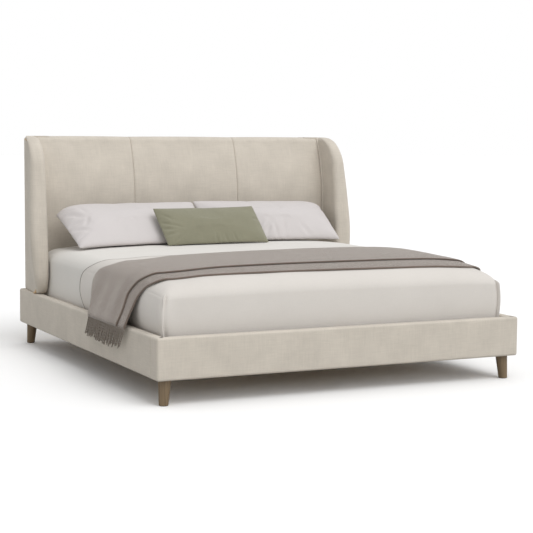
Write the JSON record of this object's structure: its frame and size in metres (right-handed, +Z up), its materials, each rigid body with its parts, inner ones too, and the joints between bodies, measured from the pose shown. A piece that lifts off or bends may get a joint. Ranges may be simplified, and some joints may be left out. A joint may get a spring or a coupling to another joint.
{
  "type": "upholstered bed",
  "caption": "Upholstered bed with a winged, panelled headboard, padded rails on tapered legs, slatted base with screw levellers, mattress, pillows and a fringed throw.",
  "frame": {"origin": "on the floor, under the middle of the bed's width and length", "axes": "+X to the right seen from the foot, +Y from the foot towards the headboard, +Z up"},
  "size_m": [2.116, 2.34, 1.281],
  "materials": {
    "linen": "slubbed warm beige linen-look weave",
    "back_cloth": "plain beige cloth over board",
    "softwood": "planed pine",
    "plywood": "birch plywood",
    "oak": "brown stained oak, satin lacquer",
    "felt": "pressed felt",
    "zinc_steel": "zinc plated",
    "black_steel": "black powder coat",
    "black_plastic": "moulded",
    "webbing": "woven polypropylene strap",
    "ticking": "quilted mattress ticking",
    "sheet_cotton": "smooth cotton",
    "coverlet_cotton": "soft brushed cotton",
    "throw_wool": "taupe wool with a knotted fringe",
    "pillow_cotton": "crisp cotton",
    "sage_cloth": "sage green slub cotton"
  },
  "bodies": {
    "bed": {"beam_hanger_foot": "zinc_steel", "beam_hanger_head": "zinc_steel", "centre_beam": "softwood", "centre_leg_1": "black_steel", "centre_leg_2": "black_steel", "centre_leg_3": "black_steel", "corner_blocks": "softwood", "corner_brackets": "zinc_steel", "coverlet": "coverlet_cotton", "felt_glides": "felt", "fitted_sheet": "sheet_cotton", "foot_rail_core": "softwood", "foot_rail_cover": "linen", "head_crossbar": "softwood", "headboard_back_panel": "back_cloth", "headboard_bottom_rail": "softwood", "headboard_face_board": "plywood", "headboard_middle_rail": "softwood", "headboard_panel_centre": "linen", "headboard_panel_left": "linen", "headboard_panel_right": "linen", "headboard_post_left": "softwood", "headboard_post_right": "softwood", "headboard_top_rail": "softwood", "leg_bolts": "zinc_steel", "leg_front_left": "oak", "leg_front_right": "oak", "leg_rear_left": "oak", "leg_rear_right": "oak", "lumbar_cushion": "sage_cloth", "mattress": "ticking", "pillow_left": "pillow_cotton", "pillow_right": "pillow_cotton", "post_bolts": "zinc_steel", "post_packers": "softwood", "side_rail_core_left": "softwood", "side_rail_core_right": "softwood", "side_rail_cover_left": "linen", "side_rail_cover_right": "linen", "slat_ledger_left": "softwood", "slat_ledger_right": "softwood", "slat_webbing": "webbing", "slats": "softwood", "throw_blanket": "throw_wool", "throw_fringe_left": "throw_wool", "throw_fringe_right": "throw_wool", "wing_cover_left": "linen", "wing_cover_right": "linen", "wing_frame_left": "plywood", "wing_frame_right": "plywood"},
    "pad_1": {"leveller_pad_1": "black_plastic"},
    "screw_1": {"leveller_screw_1": "zinc_steel"},
    "pad_2": {"leveller_pad_2": "black_plastic"},
    "screw_2": {"leveller_screw_2": "zinc_steel"},
    "pad_3": {"leveller_pad_3": "black_plastic"},
    "screw_3": {"leveller_screw_3": "zinc_steel"}
  },
  "joints": [
    {"name": "pad_1_travel", "type": "slide", "parent": "bed", "child": "pad_1", "axis": [0, 0, -1], "range_m": [-0.005, 0.012]},
    {"name": "screw_1_turn", "type": "hinge", "parent": "pad_1", "child": "screw_1", "pos_m": [0, -0.38, 0.02], "axis": [0, 0, -1], "range_deg": [-1500, 3500]},
    {"name": "pad_2_travel", "type": "slide", "parent": "bed", "child": "pad_2", "axis": [0, 0, -1], "range_m": [-0.005, 0.012]},
    {"name": "screw_2_turn", "type": "hinge", "parent": "pad_2", "child": "screw_2", "pos_m": [0, 0.18, 0.02], "axis": [0, 0, -1], "range_deg": [-1500, 3500]},
    {"name": "pad_3_travel", "type": "slide", "parent": "bed", "child": "pad_3", "axis": [0, 0, -1], "range_m": [-0.005, 0.012]},
    {"name": "screw_3_turn", "type": "hinge", "parent": "pad_3", "child": "screw_3", "pos_m": [0, 0.74, 0.02], "axis": [0, 0, -1], "range_deg": [-1500, 3500]}
  ],
  "couplings": [
    {"joint": "screw_1_turn", "follows": "pad_1_travel", "rad_per_m": 5026.5},
    {"joint": "screw_2_turn", "follows": "pad_2_travel", "rad_per_m": 5026.5},
    {"joint": "screw_3_turn", "follows": "pad_3_travel", "rad_per_m": 5026.5}
  ]
}
